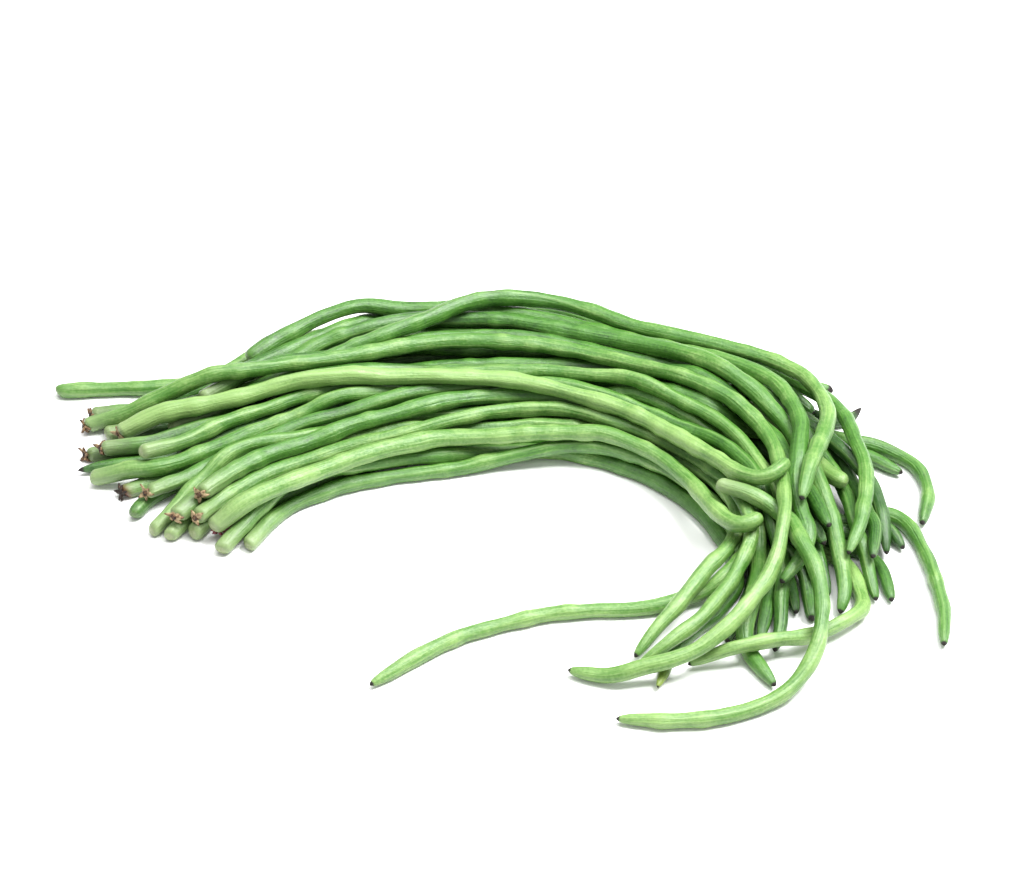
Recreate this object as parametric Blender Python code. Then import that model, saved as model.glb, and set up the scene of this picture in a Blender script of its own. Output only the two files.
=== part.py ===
"""Yardlong bean bunch: long, bumpy green pods lying side by side in a hooked sheaf.

The pods start at a stack of stem ends on the left, arch to the right, turn through a bend and
fan out to the front in loose tips. Every pod is one piece that grew as one piece, so every pod is
one object. Metres, +Z up, the surface at Z = 0, the origin under the middle of the bunch.
"""

import math

import bpy
import numpy as np

BUNCH_NAME = "yardlong_bean_bunch"

# Driving dimensions. Routes are given in centimetres and in levels; all else is in metres.
CM = 0.01
POD_RADIUS = 0.0040
STEM_SHARE = 1.06
TIP_SHARE = 0.92
LEVEL_RISE = 0.0070
POD_GAP = 0.0004
SIDES = 8
FLAT_SHARE = math.cos(math.pi / SIDES)
BUMP_SHARE = 0.07
THICKNESS_SHARE = 0.08
LONGEST_STEP = 0.023
SHORTEST_STEP = 0.007
TURN_PER_STEP = math.radians(15)
SHORTEST_RING_GAP = 0.0012
SEED = 11

# Drawing of a route as a smooth curve.
SAMPLES_PER_LEG = 24
EASING_ROUNDS = 40
EASING_SHARE = 0.25
BEND_WINDOW = 9

# Looks of the plain solids.
SKIN_GREEN = (0.21, 0.42, 0.12)
SHADE_RANGE = (0.8, 1.15)
SKIN_ROUGHNESS = 0.42

# End shapes: distance from the end and share of the full radius, from the end inwards.
STEM_PROFILE = ((0.0, 0.55), (0.0016, 0.88), (0.006, 1.0))
TIP_PROFILE = ((0.0, 0.28), (0.0022, 0.52), (0.007, 0.78), (0.016, 0.93), (0.032, 1.0))
BLUNT_PROFILE = ((0.0, 0.50), (0.0018, 0.84), (0.005, 0.97), (0.012, 1.0))

# Settling of the pods against each other.
PUSH_ROUNDS = 420
CLEAR_ROUNDS = 260
SINK_PER_ROUND = 0.00004
HOLD_SHARE = 0.016
STIFFNESS = 0.30
STIFFNESS_FADE = 0.7
PUSH_SHARE = 1.3
PAIR_REACH = 0.0076
PAIR_EVERY = 12
SMALL = 1e-6

# The sheaf's inner and outer edge at seven stations, from the stems to past the bend, in cm.
INNER_EDGE = ((-8, -2.6), (-4, -1.2), (0, 0), (4, 0), (7.8, -2.1), (10, -5), (10.8, -7))
OUTER_EDGE = ((-9.5, 10.6), (-4.5, 11.8), (0, 12), (5, 10.8), (12, 7.2), (16.8, 1.5), (18.2, -4.5))


def lane(share, *levels):
    """Points of a pod that keeps its lane: share 0 is the inner edge and 1 the outer edge."""
    points = []
    for (xi, yi), (xo, yo), level in zip(INNER_EDGE, OUTER_EDGE, levels):
        points.append((xi + share * (xo - xi), yi + share * (yo - yi), level))
    return points


# Each route runs from the stem end to the tip as (x cm, y cm, level): level 0 lies on the
# surface, level 1 on one pod, and so on.
ROUTES = {
    "pod_inner": [
        (-12.5, -6.3, 0), (-12, -4.7, 0), (-10.9, -2.8, 0), (-8.9, -1.3, 0), (-6, -0.6, 0),
        (-4, -0.2, 0), (-2, 0.1, 0), (0, 0.5, 0), (2, 0.8, 0), (4, 0.6, 0), (6, -0.1, 0),
        (8, -1.3, 0), (9.7, -3, 0), (11, -4.8, 0), (11.7, -6.5, 0), (11.5, -8.1, 0),
        (10.4, -9.5, 0), (8.6, -10.1, 0), (7, -10.6, 0), (5.5, -10.7, 0), (3.5, -10.8, 0),
        (1.5, -11.2, 0),
        (-0.3, -11.8, 0), (-2, -12.5, 0), (-3.5, -13.5, 0), (-5, -14.8, 0), (-6, -15.6, 0),
    ],
    "pod_front_low": [
        (-13.6, -6.7, 0), (-13, -5.4, 0), (-12.2, -4.1, 0.4), (-10.6, -2.4, 0.8),
        *lane(0.1, 0.8, 0.4, 0, 0, 0, 0, 0),
        (10.4, -10, 0), (8.8, -12, 0), (7.4, -13.7, 0), (7, -15.8, 0),
    ],
    "pod_red_end": [
        (-13.8, -5.2, 0), (-13, -4.4, 0), (-11.5, -3, 0),
        *lane(0.14, 0, 0, 0, 0, 0, 0, 0.5),
        (11.9, -9, 0), (11.2, -11, 0), (10.4, -12.9, 0),
    ],
    "pod_front_bright": [
        (-14.2, -5.4, 1), (-13.5, -4.9, 1), (-12, -4.1, 1), (-10, -2.9, 1), (-7.5, -1.4, 1),
        (-5, -0.3, 1), (-3, 0.4, 1), (-1, 0.5, 1), (1, 0.5, 1), (3, 0.4, 1), (5, 0.2, 1),
        (7, -0.9, 1.5), (8, -1.8, 2), (9, -3.2, 2.3), (9.9, -5.3, 2.9), (10.6, -6.8, 3.4),
        (11.3, -7.5, 3.8), (12, -7.3, 4), (12.4, -6.6, 4.1),
    ],
    "pod_pale_pair_right": [
        (-15.2, -5.5, 0), (-14.2, -4.1, 0), (-12.6, -2.9, 0), (-10.5, -1.4, 0),
        *lane(0.21, 0, 0, 0, 0, 0, 0, 0),
        (12.7, -9, 0), (12.2, -11, 0), (11.5, -12.8, 0),
    ],
    "pod_pale_pair_left": [
        (-15.9, -5.9, 0), (-15.1, -4.5, 0), (-13.5, -2.7, 0), (-11.5, -1.2, 0), (-9, 0.2, 0.3),
        (-6, 1.0, 0.7), (-3, 1.4, 1), (-1, 1.5, 1), (0.5, 1.8, 1), (2, 2, 1), (4, 1.8, 1),
        (6, 1.6, 1), (8, 0.6, 1), (9.2, -0.4, 1), (10.8, -2.3, 1), (11.6, -4.5, 1), (11.7, -6.3, 1),
        (11.2, -7.6, 1), (10.4, -8.7, 1), (9.3, -10.2, 1),
        (8, -11.8, 1), (7.1, -13, 0.6), (6.3, -14.3, 0.1),
    ],
    "pod_star_right": [
        (-14.7, -5.4, 1), (-14.1, -4.4, 1), (-13, -3.3, 1), (-12, -2.3, 1), (-10, -1.1, 1.2),
        (-7.5, 0, 1.5), (-5, 0.7, 1.7), (-3, 1.2, 2), (-1, 1.9, 2), (0.5, 2.4, 2), (2, 2.5, 2),
        (4, 2.1, 2), (6, 1.2, 2), (8, -0.3, 2), (9.7, -2, 2), (11, -4, 2), (11.6, -6, 2),
        (11.6, -7.6, 1.5), (11.1, -9, 1), (10.4, -10.7, 1), (9.3, -12.4, 1), (8.2, -13.6, 0.7),
        (7.2, -14.4, 0.2), (6.2, -15, 0),
    ],
    "pod_star_left": [
        (-15.8, -5.2, 1), (-14.9, -4, 1), (-13.4, -2.5, 1), (-11.5, -1, 0.7),
        *lane(0.28, 0.3, 0, 0, 0, 0.4, 1, 1),
        (14.8, -6.2, 1.3), (15.5, -7.6, 1),
    ],
    "pod_brown_calyx": [
        (-14.7, -4.3, 2), (-14.2, -3.6, 2), (-13.3, -2.6, 2), (-12, -1.6, 2), (-10, -0.4, 2),
        (-7.5, 0.9, 2), (-5, 1.9, 2), (-3, 2.8, 2), (-1, 3.4, 2), (1, 3.5, 2), (3, 3.1, 2),
        (5, 2.4, 2), (7, 1.2, 2), (9, -0.4, 2), (10.7, -2.3, 2), (11.9, -4.2, 2), (12.3, -6, 1.8),
        (12.2, -7.5, 1.2), (11.9, -9.7, 1), (11.5, -12.2, 0.8), (11.4, -13.4, 0.3),
        (11.7, -14.3, 0), (12.1, -15.1, 0), (12.5, -15.9, 0),
    ],
    "pod_steep_pale": [
        (-17.1, -5.3, 0.8), (-16.6, -4.7, 1), (-15.8, -4, 1.3), (-15, -3.2, 1.6),
        (-14.3, -2.1, 1.8),
        (-13, -1.1, 1.9), (-11.5, -0.3, 1.6), (-9.5, 0.7, 1.1), (-7, 1.7, 1), (-5, 2.3, 1),
        (-3, 2.6, 1), (0, 2.9, 1), (3, 2.9, 1), (5, 2.4, 1), (7.5, 1.2, 1), (9.5, -0.6, 1.2),
        (11.2, -2.5, 1.3), (12.4, -5, 1.2), (13.3, -7, 1), (14.2, -8.4, 0.5), (14.4, -9.8, 0.5),
        (14.4, -11.4, 0.2),
    ],
    "pod_dark_calyx": [
        (-17.5, -3.3, 1), (-16.2, -2.6, 1.2), (-15, -1.9, 1.4), (-14, -1.1, 1.5), (-12, 0.1, 1.6),
        (-10, 1, 2), (-7, 2.3, 2), (-5, 3.2, 2), (-3, 3.8, 2), (-1, 4.2, 2), (1, 4.3, 2),
        (3, 3.9, 2), (5, 3.2, 2), (7, 2.1, 2), (9, 0.8, 2), (10.5, -0.6, 2.5), (11.7, -2.4, 2.6),
        (12.4, -4.4, 2.6), (12.8, -6.4, 2), (13.3, -8.4, 1), (13.1, -10.6, 0.4),
        (12.7, -12.4, 0), (12.3, -13.4, 0),
    ],
    "pod_green_end": [
        (-18.1, -4.2, 0), (-17.6, -3.1, 0), (-16.7, -2.1, 0), (-15, -0.9, 0), (-12.5, 0.6, 0),
        (-10.5, 1.8, 0),
        *lane(0.35, 0, 0, 0, 0, 0, 0.3, 0.2),
        (13.2, -8.5, 0), (12.9, -11, 0),
    ],
    "pod_rust_end": [
        (-19.1, -1.9, 0), (-17.4, -1.2, 0), (-15, 0, 0), (-12.5, 1.5, 0), (-10.8, 2.7, 0),
        *lane(0.42, 0, 0, 0, 0, 0, 1, 1),
        (16.2, -7.2, 1), (16.9, -8.9, 1), (16.9, -10.3, 1), (16.3, -11.3, 1), (15.5, -12, 0.9),
        (14.3, -12.7, 0.7), (13, -13.3, 0.8), (11.5, -13.7, 1), (10, -14.1, 0.8), (8.5, -14.3, 0.5),
    ],
    "pod_long_left": [
        (-20.5, -1.4, 1), (-19, -1.5, 1), (-17.5, -1.6, 1), (-16, -1, 1), (-14, 0.3, 1),
        (-12, 1.4, 1),
        (-10, 2.4, 1), (-7.5, 3.4, 1), (-5, 4.1, 1), (-3, 4.5, 1), (0, 4.7, 1), (3, 4.5, 1),
        (5, 4, 1), (7.5, 2.8, 1.2), (10, 1, 1.4), (12, -1.2, 1.5), (13.3, -3.6, 1.5),
        (14.2, -6, 1.2), (14.9, -8, 0.8), (15.4, -10, 0.2),
    ],
    "pod_backward": [
        (17, -3.7, 1.8), (15.8, -2.8, 1.9), (14.6, -0.9, 2), (12.5, 1.9, 1.3), (9.5, 3.8, 0.6),
        (5, 5.3, 0), (0, 5.9, 0), (-5, 5.2, 0), (-9, 3.9, 0), (-12, 2.7, 0), (-14.5, 1.4, 0.2),
        (-17, 0.4, 0.5), (-19, -0.2, 0.6), (-21.3, -0.7, 0.6),
    ],
    "pod_pale_top": [
        (-17.9, -1.4, 2), (-16, -0.3, 2), (-15, 0.5, 2), (-14, 1.2, 2), (-12, 2.2, 2),
        (-10, 3.1, 2), (-7, 4.1, 2), (-5, 4.6, 2), (-3, 4.9, 2), (0, 5.1, 2), (3, 4.9, 2),
        (5, 4.4, 2), (7, 3.4, 2), (9, 2.1, 2.1), (10.5, 0.7, 2.3), (12, -1.4, 2.3),
        (12.9, -4, 2), (13.8, -6.5, 1.6), (14.6, -8, 1.2), (14.9, -9.6, 0.8),
    ],
    "pod_cluster_low": [
        (-20.1, 0.3, 1.2), (-18, 0.7, 1.1), (-16, 1.5, 1), (-14, 2.7, 1), (-12, 3.7, 1),
        (-10, 4.6, 1), (-7, 5.8, 1), (-5, 6.3, 1.2), (-3, 6.5, 1.5), (0, 6.6, 1.5), (3, 6.5, 1.5),
        (5, 6.1, 1.6), (8, 4.9, 2), (10, 3.9, 2), (12, 2.2, 2), (13.4, 0.2, 2), (14.1, -2, 2),
        (14.6, -4, 2), (15, -6, 1.6), (15.3, -7.6, 1.2),
    ],
    "pod_across_top": [
        (-19.4, 1.6, 2.1), (-16.5, 2.2, 2), (-12.5, 3.1, 2.5), (-10, 3.5, 3), (-8, 3.7, 3),
        (-5, 3.8, 3),
        (-3, 3.8, 3), (0, 3.7, 3), (3, 2.8, 3), (5, 1.8, 3), (7, 0.5, 3), (8.5, -0.9, 3.2),
        (10.5, -3.3, 3.7), (11.6, -4.8, 4.1), (12.6, -5.4, 4.2), (13.4, -5, 4.3), (13.7, -4.3, 4.4),
    ],
    "pod_cluster_side": [
        (-21.3, 2.6, 1), (-19.5, 2.8, 1.3), (-17, 3.3, 1.6), (-15, 3.7, 1.9), (-12, 4.5, 2),
        (-8.5, 5.7, 2), (-6.5, 6.5, 2), (-4.4, 7.2, 2), (-2.3, 7.6, 2), (0, 7.5, 2), (2, 7.3, 2),
        (4, 6.6, 2), (6, 5.6, 2.2), (8, 4.4, 2.6), (10, 3, 3), (11.1, 2.2, 3), (12.1, 1, 3),
        (12.8, -0.5, 3), (13.3, -2, 3), (13.5, -3.5, 3), (13.5, -5, 3), (13.5, -6.6, 2.8),
        (13.4, -8, 2.4), (13, -9.4, 2.1), (12.2, -11, 1.9), (11.2, -12.4, 1.6), (10, -13.6, 1.2),
        (9, -14.3, 0.9), (8, -14.7, 0.5), (6.5, -14.9, 0.1), (5, -15.1, 0), (4, -15, 0),
        (3, -14.7, 0),
    ],
    "pod_back_fourth": [
        (-12.5, 4.3, 1), (-11, 5.3, 1.4), (-8, 7.2, 1.5), (-6, 8, 1.5), (-4, 8.4, 1.6),
        (-2, 8.6, 1.8),
        (0, 8.5, 2), (2, 8.2, 2), (4, 7.5, 2), (6, 6.7, 2), (8, 5.9, 2), (10, 5, 2),
        (12, 3.5, 2), (13.6, 1.9, 2), (15, 0.3, 1.6), (16, -1.6, 1.4), (16.6, -3.6, 1.2),
        (16.9, -5.6, 1), (17, -7.2, 0.6), (16.9, -8.7, 0.3), (16.6, -10.2, 0),
    ],
    "pod_crosser": [
        (-16.7, 2.9, 0.3), (-15.2, 3.4, 0.5), (-13.5, 4, 0.8), (-11, 5.1, 1.4),
        (-8.5, 6.3, 2.1), (-6.5, 7.3, 2.4),
        (-5, 8.1, 2.5), (-3.4, 9.1, 2.5), (-1.8, 10.1, 2.4), (0, 10.7, 2.4), (2, 10.8, 2.4),
        (3.5, 10.5, 2.4), (5, 9.8, 2.5), (7, 8.6, 2.6), (9.2, 7.6, 2.9), (12, 6.3, 3),
        (14.2, 5, 3), (15.3, 3.8, 3), (15.9, 2.1, 3), (16, 0.3, 3), (15.5, -1.5, 3),
        (14.9, -3.2, 3), (14.2, -4.9, 2.7),
        (13.7, -6.4, 2),
    ],
    "pod_back_third": [
        (-13.5, 5.7, 0), (-12.2, 6.5, 0.4), (-10.4, 7.5, 0.9), (-8.5, 8.3, 1.4), (-7, 8.8, 1.6),
        (-5, 9.6, 1.5), (-3, 9.8, 1.7), (-1.3, 9.9, 2), (0, 9.7, 2), (2, 9, 2), (4, 8.2, 2),
        (6, 7.3, 2.1), (8, 6.4, 2.3), (10, 5, 2.5), (11.5, 3.6, 2.5), (13, 1.9, 2.3),
        (14.2, 0, 2), (15, -2.2, 2), (15.4, -4.2, 1.8), (15.8, -6, 1.5), (16.2, -8, 1.1),
        (16.4, -10, 0.9), (16.1, -11.3, 0.5),
    ],
    "pod_back_second": [
        (-12.8, 6.7, 0), (-12, 7.5, 0.3), (-10.6, 8.7, 0.7), (-9, 9.7, 1), (-7, 10.6, 1.1),
        (-5, 10.9, 1.3), (-3, 11, 1.5), (-1, 10.9, 1.7), (0.5, 10.4, 2), (2, 10.1, 2),
        (3.5, 9.5, 2), (5, 8.7, 2.1), (7, 7.7, 2.3), (9.1, 6.5, 2.6), (12, 4.3, 3), (13.5, 2.8, 3),
        (14.3, 1, 3), (14.6, -1.2, 3), (14.4, -3.1, 2.8), (14.1, -4.6, 2.4),
        (14, -6, 2), (14.1, -7.2, 1.8), (13.8, -8.4, 1.4), (13.4, -9.3, 1.1), (13, -10.2, 1),
    ],
    "pod_cluster_top": [
        (-21.1, 3.6, 1.5), (-19, 3.8, 1.5), (-17, 4.3, 1.5), (-15.7, 4.6, 1.5), (-14.5, 5, 1.4),
        (-13, 6, 1.2), (-12, 6.9, 1.1), (-10, 8.8, 1), (-8, 10.2, 1), (-6, 11.3, 1),
        (-4.5, 11.9, 1), (-3, 12.3, 1), (-1, 12.5, 1.2), (1, 12.3, 1.3), (3, 11.9, 1.5),
        (5, 10.7, 1.7), (7, 9.5, 2), (9, 8.5, 2), (11, 7.6, 2.2), (13, 6.3, 2.5), (14.8, 5, 2.5),
        (16.2, 3.5, 2.6), (17, 1.8, 2.9), (17.3, 0, 3), (17.5, -1.5, 3), (17.6, -3.2, 3),
        (17.4, -5, 3), (17, -6.7, 2.6), (16.6, -7.7, 2.2), (16.3, -8.4, 2),
    ],
    "pod_stray": [
        (-23.3, 5.6, 0), (-20, 5.7, 0), (-17, 5.8, 0), (-15, 6.3, 0), (-12.5, 7.6, 0),
        (-10, 9.6, 0),
        (-7, 11.4, 0), (-4, 12.6, 0), (-1, 13, 0), (2, 12.5, 0), (4.5, 11.6, 0.3),
        (7, 10.4, 0.5), (9.5, 9.1, 0.5), (12, 7.9, 0.5), (14, 6.9, 0.4), (15.8, 6.1, 0.3),
        (17.2, 5.7, 0),
    ],
    "pod_hook": [
        (10.3, -5.1, 2.6), (11.3, -5.6, 2.6), (12.3, -6, 2.4), (13.3, -6.5, 2), (14, -7, 1.8),
        (14.4, -8.3, 2), (14.8, -10, 2), (14.9, -11.5, 1.9), (14.8, -12.9, 1.6), (14.4, -14.3, 1),
        (13.7, -15.4, 0.5), (12.6, -16.4, 0.1), (11.1, -17.2, 0), (9.2, -17.7, 0), (7.1, -17.9, 0),
        (5.1, -17.7, 0),
    ],
    "pod_low_a": [
        (-21, 0.4, 0.2), (-19, 0.8, 0), (-16, 1.7, 0), (-13, 3.1, 0), (-10.5, 4.5, 0),
        *lane(0.57, 0, 0, 0, 0, 0, 0.4, 0.3),
        (17.2, -7, 0), (17.6, -8.6, 0), (17.5, -10.2, 0),
    ],
    "pod_low_b": [
        (-20.3, 2.1, 0.2), (-18.5, 2.3, 0), (-16, 2.9, 0), (-13, 4.2, 0), (-11, 5.4, 0),
        *lane(0.65, 0, 0, 0, 0, 0.2, 1, 1),
        (18.8, -4.6, 0.4), (19.4, -6.5, 0),
    ],
    "pod_low_c": [
        (-16.3, 3.7, 0), (-14.5, 4.4, 0), (-12.5, 5.5, 0),
        *lane(0.73, 0, 0, 0, 0, 0, 0, 0.3),
        (18.6, -4.2, 0.3), (19.4, -5.7, 0), (20.1, -7.3, 0), (20.5, -9.3, 0), (20.6, -11.3, 0),
        (20.4, -13.1, 0),
    ],
    "pod_low_d": [
        (-15, 4.7, 0), (-13.5, 5.4, 0), (-12.2, 6.5, 0),
        *lane(0.81, 0, 0, 0, 0, 0),
        (15.5, 2.6, 0.5), (17, 1.6, 0.6), (18.8, 1, 0.4), (20, 0.3, 0.2), (20.7, -0.8, 0),
        (20.9, -2.2, 0), (20.6, -3.6, 0), (20.1, -4.9, 0),
    ],
    "pod_low_e": [
        (-12.5, 7.2, 0), (-11.5, 8.1, 0),
        *lane(0.9, 0, 0, 0, 0, 0),
        (14.6, 4.2, 0.6), (16.4, 3.1, 0.4), (17.7, 3.2, 0.3), (18.5, 4.3, 0.4),
    ],
    "pod_mid_a": [
        (-16.5, 0.3, 1.2), (-14, 1.4, 1), (-11.5, 2.4, 1), (-9, 3.4, 1), (-5, 3.2, 1), (0, 3.8, 1),
        (5, 3.2, 1), (8.5, 2.4, 1), (11, 3.2, 1.2), (13, 3.8, 1.8), (14.8, 3.9, 2), (15.9, 3.1, 2),
    ],
    "pod_mid_b": [
        (-17, 1.5, 1.2), (-14, 3, 1), (-11, 4.3, 1), (-8, 5, 1), (-4, 5.4, 1), (0, 5.7, 1),
        (5, 5, 1), (9, 3.4, 1.2), (12, 1.6, 1.3), (14.5, 1.2, 1.2), (16.5, 0.9, 1),
        (18, 0.7, 0.7), (19.3, 0, 0.6), (20.3, -0.8, 0.5),
    ],
    "pod_mid_c": [
        (-15.5, 3.2, 1), (-13, 4.4, 1), (-10, 6.1, 1), (-7, 7.3, 1), (-4, 7.9, 1), (0, 8.2, 1),
        (4, 7.6, 1), (8, 6, 1), (11, 4.4, 1.2), (14, 2, 1.5), (16.3, -0.2, 1.8), (17.6, -2, 1.6),
        (18.2, -3.7, 1.3), (18.5, -5.4, 1), (18.5, -7, 0.5),
    ],
    "pod_mid_d": [
        (-12, 6.2, 0), (-10.8, 7, 0.5), (-9, 8.1, 1), (-7, 8.9, 1), (-4, 9.6, 1), (0, 9.5, 1),
        (4, 8.8, 1), (8, 7.2, 1.1), (11, 5.6, 1.3), (14, 3.2, 1.3), (16, 0.6, 1.2),
        (17, -2.4, 1.2), (17.5, -5, 1.2), (17.6, -7, 1.1), (17.4, -8.4, 1),
    ],
}

BLUNT_TIPS = {"pod_across_top", "pod_front_bright", "pod_stray", "pod_steep_pale", "pod_mid_a"}


def rounded_route(points):
    """A dense smooth curve through the route's points, in metres, with its height from the level."""
    knots = np.array([(x * CM, y * CM, POD_RADIUS + level * LEVEL_RISE) for x, y, level in points])
    ends = np.vstack([2 * knots[0] - knots[1], knots, 2 * knots[-1] - knots[-2]])
    t = np.linspace(0, 1, SAMPLES_PER_LEG, endpoint=False)[:, None]
    dense = []
    for a, b, c, d in zip(ends[:-3], ends[1:-2], ends[2:-1], ends[3:]):
        dense.append(0.5 * (2 * b + (c - a) * t + (2 * a - 5 * b + 4 * c - d) * t**2
                            + (3 * b - a - 3 * c + d) * t**3))
    dense = np.vstack([*dense, knots[-1:]])
    for _ in range(EASING_ROUNDS):
        dense[1:-1] += EASING_SHARE * (dense[:-2] - 2 * dense[1:-1] + dense[2:])
    return dense


def spaced(dense):
    """Points along the curve, closer together where it bends."""
    steps = np.diff(dense, axis=0)
    lengths = np.linalg.norm(steps, axis=1)
    ways = steps / lengths[:, None]
    turns = np.arccos(np.clip(np.sum(ways[1:] * ways[:-1], axis=1), -1, 1))
    window = np.ones(BEND_WINDOW) / BEND_WINDOW
    bend = np.convolve(np.append(turns, 0), window, mode="same") / lengths
    density = np.clip(bend / TURN_PER_STEP, 1 / LONGEST_STEP, 1 / SHORTEST_STEP)
    run = np.concatenate([[0], np.cumsum(density * lengths)])
    count = int(round(run[-1])) + 1
    marks = np.linspace(0, run[-1], count)
    return np.stack([np.interp(marks, run, dense[:, axis]) for axis in range(3)], axis=1)


def pod_radii(count, draw):
    """Radius at each point: the pod slims towards its tip and swells a little over its seeds."""
    own = POD_RADIUS * (1 + THICKNESS_SHARE * draw.uniform(-1, 1))
    slimming = np.linspace(STEM_SHARE, TIP_SHARE, count)
    return own * slimming * (1 + BUMP_SHARE * draw.uniform(-1, 1, count))


def nearest(p, q, r, s):
    """Shares along segments p-q and r-s of their two closest points."""
    d1, d2, gap = q - p, s - r, p - r
    a, e = np.sum(d1 * d1, 1), np.sum(d2 * d2, 1)
    b, c, f = np.sum(d1 * d2, 1), np.sum(d1 * gap, 1), np.sum(d2 * gap, 1)
    spread = np.maximum(a * e - b * b, SMALL * SMALL * SMALL)
    u = np.clip((b * f - c * e) / spread, 0, 1)
    v = (b * u + f) / e
    u = np.where(v < 0, np.clip(-c / a, 0, 1), np.where(v > 1, np.clip((b - c) / a, 0, 1), u))
    return u, np.clip(v, 0, 1)


def close_pairs(places, starts, owner):
    """Pairs of segments, of different pods, that lie near each other."""
    middle = (places[starts] + places[starts + 1]) / 2
    half = np.linalg.norm(places[starts + 1] - places[starts], axis=1) / 2
    i, j = np.triu_indices(len(starts), 1)
    keep = owner[i] != owner[j]
    i, j = i[keep], j[keep]
    reach = half[i] + half[j] + 2 * POD_RADIUS + PAIR_REACH
    keep = np.sum((middle[i] - middle[j]) ** 2, 1) < reach**2
    return starts[i[keep]], starts[j[keep]]


def push_apart(places, radii, pairs):
    """How far each point has to move so that its pod clears its neighbours."""
    one, two = pairs
    u, v = nearest(places[one], places[one + 1], places[two], places[two + 1])
    u, v = u[:, None], v[:, None]
    here = places[one] * (1 - u) + places[one + 1] * u
    there = places[two] * (1 - v) + places[two + 1] * v
    away = here - there
    apart = np.linalg.norm(away, axis=1)
    thick_here = radii[one] * (1 - u[:, 0]) + radii[one + 1] * u[:, 0]
    thick_there = radii[two] * (1 - v[:, 0]) + radii[two + 1] * v[:, 0]
    short = thick_here + thick_there + POD_GAP - apart
    hit = short > 0
    one, two, u, v = one[hit], two[hit], u[hit], v[hit]
    way = away[hit] / np.maximum(apart[hit], SMALL)[:, None]
    share = short[hit][:, None] / ((1 - u) ** 2 + u**2 + (1 - v) ** 2 + v**2)
    at = np.concatenate([one, one + 1, two, two + 1])
    part = np.concatenate([1 - u, u, 1 - v, v])
    move = np.concatenate([(1 - u) * way, u * way, -(1 - v) * way, -v * way]) * np.tile(share, (4, 1))
    weight = np.bincount(at, part[:, 0], len(places))
    total = np.stack([np.bincount(at, move[:, axis], len(places)) for axis in range(3)], axis=1)
    worst = float(short.max()) if len(short) else 0.0
    return total / np.maximum(weight, 1)[:, None], worst


def inner_points(counts, firsts):
    """Indices of all points but the pods' two ends."""
    inside = np.ones(sum(counts), bool)
    inside[firsts] = False
    inside[firsts + np.array(counts) - 1] = False
    return np.nonzero(inside)[0]


def relax(places, home, inner, turn):
    """Draws each pod back towards its own route and evens out how far its points have moved."""
    shift = places - home
    shift[:, :2] *= 1 - HOLD_SHARE
    stiffness = STIFFNESS * (1 - STIFFNESS_FADE * turn / PUSH_ROUNDS)
    shift[inner] += stiffness * ((shift[inner - 1] + shift[inner + 1]) / 2 - shift[inner])
    return home + shift


def settle(pods):
    """Moves the pods off each other and down on each other, keeping each one's own bends."""
    home = np.vstack([points for points, _ in pods])
    radii = np.concatenate([radii for _, radii in pods])
    counts = [len(points) for points, _ in pods]
    firsts = np.cumsum([0, *counts[:-1]])
    starts = np.concatenate([np.arange(f, f + n - 1) for f, n in zip(firsts, counts)])
    owner = np.concatenate([np.full(n - 1, k) for k, n in enumerate(counts)])
    inner = inner_points(counts, firsts)
    rounds = PUSH_ROUNDS + CLEAR_ROUNDS
    places = home.copy()
    for turn in range(rounds):
        if turn % PAIR_EVERY == 0:
            pairs = close_pairs(places, starts, owner)
        move, worst = push_apart(places, radii, pairs)
        places += PUSH_SHARE * move
        if turn < PUSH_ROUNDS:
            places = relax(places, home, inner, turn)
        places[:, 2] -= SINK_PER_ROUND * (1 - turn / rounds)
        places[:, 2] = np.maximum(places[:, 2], radii * FLAT_SHARE)
    print("settled with the closest pods", round((POD_GAP - worst) * 1000, 3), "mm apart")
    return [places[f:f + n] for f, n in zip(firsts, counts)]


def ring_list(points, radii, name):
    """Centres and radii of the pod's rings, with the rounded stem end and the tapering tip."""
    tip = BLUNT_PROFILE if name in BLUNT_TIPS else TIP_PROFILE
    along = np.concatenate([[0], np.cumsum(np.linalg.norm(np.diff(points, axis=0), axis=1))])
    whole = along[-1]
    marks = np.concatenate([along[1:-1], [d for d, _ in STEM_PROFILE], [whole - d for d, _ in tip]])
    marks = np.unique(np.round(marks, 5))
    marks = np.concatenate([marks[:1], marks[1:][np.diff(marks) > SHORTEST_RING_GAP]])
    centres = np.stack([np.interp(marks, along, points[:, axis]) for axis in range(3)], axis=1)
    thick = np.interp(marks, along, radii)
    stem_share = np.interp(marks, *zip(*STEM_PROFILE))
    tip_share = np.interp(whole - marks, *zip(*tip))
    return centres, thick * stem_share * tip_share


def skin(name, draw):
    """A plain green material, a little lighter or darker from pod to pod."""
    made = bpy.data.materials.new(name)
    made.use_nodes = True
    shader = made.node_tree.nodes["Principled BSDF"]
    shade = draw.uniform(*SHADE_RANGE)
    shader.inputs["Base Color"].default_value = (*(shade * part for part in SKIN_GREEN), 1)
    shader.inputs["Roughness"].default_value = SKIN_ROUGHNESS
    return made


def make_pod(name, centres, radii, look, bunch):
    """One pod: a bevelled curve through its rings, with a radius at each and a flat underneath."""
    curve = bpy.data.curves.new(name, "CURVE")
    curve.dimensions = "3D"
    curve.twist_mode = "Z_UP"
    curve.bevel_depth = 1.0
    curve.bevel_resolution = SIDES // 2 - 2
    curve.use_fill_caps = True
    spline = curve.splines.new("POLY")
    spline.points.add(len(centres) - 1)
    for point, centre, radius in zip(spline.points, centres, radii):
        point.co = (*centre, 1)
        point.radius = radius
        point.tilt = math.pi / SIDES
    curve.materials.append(look)
    bunch.objects.link(bpy.data.objects.new(name, curve))


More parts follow.
